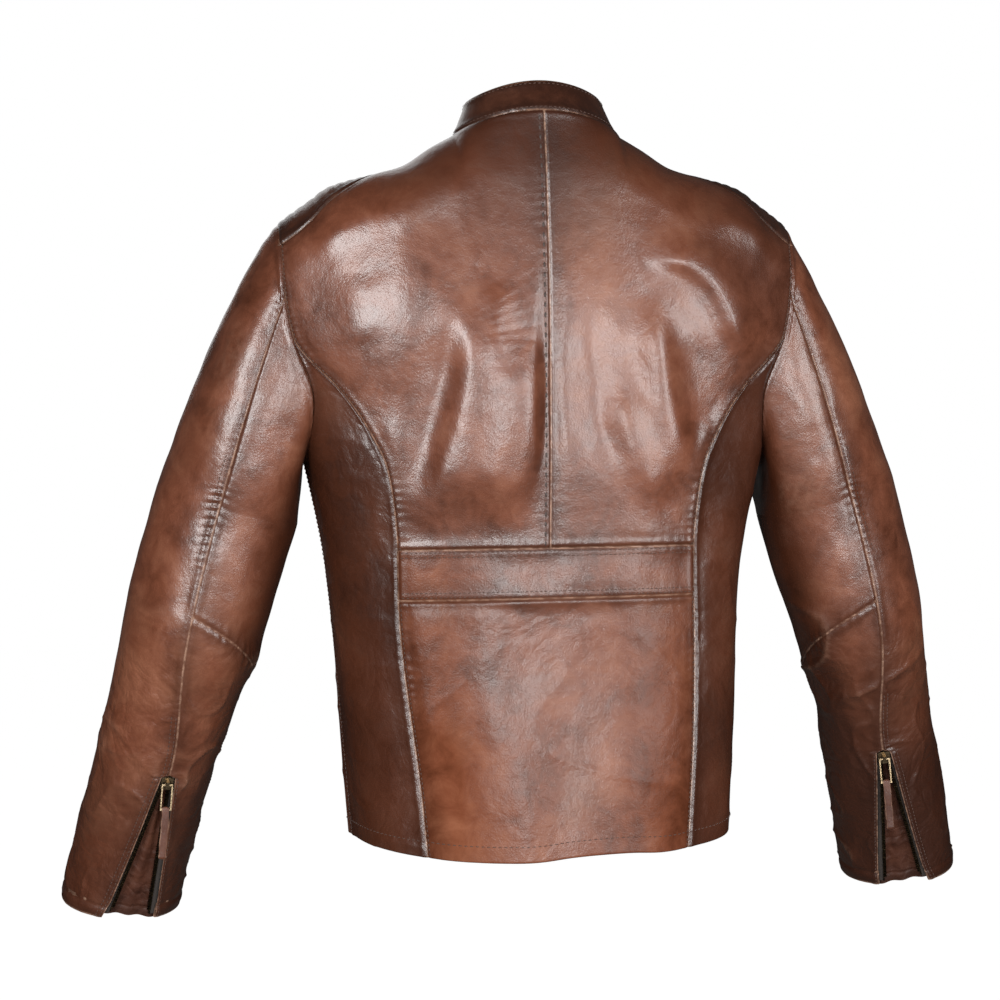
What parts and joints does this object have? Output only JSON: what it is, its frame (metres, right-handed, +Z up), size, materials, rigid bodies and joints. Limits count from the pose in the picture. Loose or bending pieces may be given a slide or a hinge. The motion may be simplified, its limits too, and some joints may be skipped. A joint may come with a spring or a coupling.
{
  "type": "leather riding jacket",
  "caption": "Brown leather riding jacket with a band collar, front zip, belted back, shaped sleeves and open zipped cuffs; hangs from the loop at its nape.",
  "frame": {"origin": "middle of the seam between the back and the collar, where the jacket hangs from its loop", "axes": "+Z up, the wearer faces -Y, +X is the wearer's left"},
  "size_m": [0.8812, 0.2989, 0.7535],
  "materials": {
    "brown_leather": "waxed brown leather, semi-gloss",
    "dark_leather": "burnished dark brown leather",
    "lining_cloth": "dark brown lining cloth",
    "antique_brass": "antique brass",
    "zip_tape": "black woven tape"
  },
  "bodies": {
    "torso": {"back_left_panel": "brown_leather", "back_right_panel": "brown_leather", "back_belt_panel": "brown_leather", "back_lower_panel": "brown_leather", "side_back_left": "brown_leather", "side_back_right": "brown_leather", "front_left_panel": "brown_leather", "front_right_panel": "brown_leather", "side_front_left": "brown_leather", "side_front_right": "brown_leather", "shoulder_patch_left": "dark_leather", "shoulder_patch_right": "dark_leather", "collar_band": "dark_leather", "collar_lining": "brown_leather", "collar_snap_stud": "antique_brass", "main_zip_tape": "zip_tape", "main_zip_teeth": "antique_brass", "main_zip_box": "antique_brass", "wind_flap": "brown_leather", "torso_lining": "lining_cloth", "hem_facing": "brown_leather", "hang_loop": "dark_leather", "pocket_welts": "brown_leather", "pocket_bags": "lining_cloth", "pocket_zip_tapes": "zip_tape", "pocket_zip_teeth": "antique_brass"},
    "sleeve_left": {"sleeve_top_left": "brown_leather", "sleeve_under_left": "brown_leather", "sleeve_lining_left": "lining_cloth"},
    "forearm_left": {"forearm_top_left": "brown_leather", "forearm_under_left": "brown_leather", "forearm_lining_left": "lining_cloth", "cuff_gusset_left": "brown_leather", "cuff_zip_tape_left": "zip_tape", "cuff_zip_teeth_left": "antique_brass"},
    "cuff_slider_left": {"cuff_slider_left": "antique_brass"},
    "cuff_pull_left": {"cuff_pull_frame_left": "antique_brass", "cuff_pull_tab_left": "dark_leather"},
    "pocket_slider_left": {"pocket_slider_left": "antique_brass"},
    "pocket_pull_left": {"pocket_pull_left": "antique_brass"},
    "sleeve_right": {"sleeve_top_right": "brown_leather", "sleeve_under_right": "brown_leather", "sleeve_lining_right": "lining_cloth"},
    "forearm_right": {"forearm_top_right": "brown_leather", "forearm_under_right": "brown_leather", "forearm_lining_right": "lining_cloth", "cuff_gusset_right": "brown_leather", "cuff_zip_tape_right": "zip_tape", "cuff_zip_teeth_right": "antique_brass"},
    "cuff_slider_right": {"cuff_slider_right": "antique_brass"},
    "cuff_pull_right": {"cuff_pull_frame_right": "antique_brass", "cuff_pull_tab_right": "dark_leather"},
    "pocket_slider_right": {"pocket_slider_right": "antique_brass"},
    "pocket_pull_right": {"pocket_pull_right": "antique_brass"},
    "main_slider": {"main_zip_slider": "antique_brass"},
    "main_pull": {"main_pull_frame": "antique_brass", "main_pull_tab": "dark_leather"},
    "collar_tab": {"collar_tab": "dark_leather", "collar_snap_cap": "antique_brass"}
  },
  "joints": [
    {"name": "shoulder_left", "type": "hinge", "parent": "torso", "child": "sleeve_left", "pos_m": [0.233, -0.072, -0.086], "axis": [0, -1, 0], "range_deg": [0, 35]},
    {"name": "elbow_left", "type": "hinge", "parent": "sleeve_left", "child": "forearm_left", "pos_m": [0.31163, -0.18528, -0.43209], "axis": [-0.9628, -0.0846, -0.2567], "range_deg": [0, 45], "stiffness_Nm_per_rad": 0.6},
    {"name": "cuff_zip_left", "type": "slide", "parent": "forearm_left", "child": "cuff_slider_left", "axis": [0.1559, -0.4303, -0.8891], "range_m": [0, 0.1272]},
    {"name": "cuff_pull_hinge_left", "type": "hinge", "parent": "cuff_slider_left", "child": "cuff_pull_left", "pos_m": [0.33683, -0.11809, -0.59275], "axis": [0.9783, 0.1918, 0.0787], "range_deg": [-12, 120]},
    {"name": "shoulder_right", "type": "hinge", "parent": "torso", "child": "sleeve_right", "pos_m": [-0.233, -0.072, -0.086], "axis": [0, 1, 0], "range_deg": [0, 35]},
    {"name": "elbow_right", "type": "hinge", "parent": "sleeve_right", "child": "forearm_right", "pos_m": [-0.31163, -0.18528, -0.43209], "axis": [-0.9628, 0.0846, 0.2567], "range_deg": [0, 45], "stiffness_Nm_per_rad": 0.6},
    {"name": "cuff_zip_right", "type": "slide", "parent": "forearm_right", "child": "cuff_slider_right", "axis": [-0.1559, -0.4303, -0.8891], "range_m": [0, 0.1272]},
    {"name": "cuff_pull_hinge_right", "type": "hinge", "parent": "cuff_slider_right", "child": "cuff_pull_right", "pos_m": [-0.33683, -0.11809, -0.59275], "axis": [0.9783, -0.1918, -0.0787], "range_deg": [-12, 120]},
    {"name": "main_zip", "type": "slide", "parent": "torso", "child": "main_slider", "axis": [0, -0.0634, -0.998], "range_m": [0, 0.5081]},
    {"name": "main_pull_hinge", "type": "hinge", "parent": "main_slider", "child": "main_pull", "pos_m": [0, -0.19253, -0.10565], "axis": [-1, 0, 0], "range_deg": [0, 150]},
    {"name": "pocket_zip_left", "type": "slide", "parent": "torso", "child": "pocket_slider_left", "axis": [0.2784, 0.0091, -0.9604], "range_m": [0, 0.122]},
    {"name": "pocket_pull_hinge_left", "type": "hinge", "parent": "pocket_slider_left", "child": "pocket_pull_left", "pos_m": [0.07101, -0.21196, -0.4494], "axis": [-0.9539, -0.1145, -0.2776], "range_deg": [0, 150]},
    {"name": "pocket_zip_right", "type": "slide", "parent": "torso", "child": "pocket_slider_right", "axis": [-0.2784, 0.0091, -0.9604], "range_m": [0, 0.122]},
    {"name": "pocket_pull_hinge_right", "type": "hinge", "parent": "pocket_slider_right", "child": "pocket_pull_right", "pos_m": [-0.07101, -0.21196, -0.4494], "axis": [-0.9539, 0.1145, 0.2776], "range_deg": [0, 150]},
    {"name": "collar_tab_hinge", "type": "hinge", "parent": "torso", "child": "collar_tab", "pos_m": [0.03545, -0.17506, -0.07767], "axis": [-0.1031, 0.2532, 0.9619], "range_deg": [0, 110]}
  ]
}
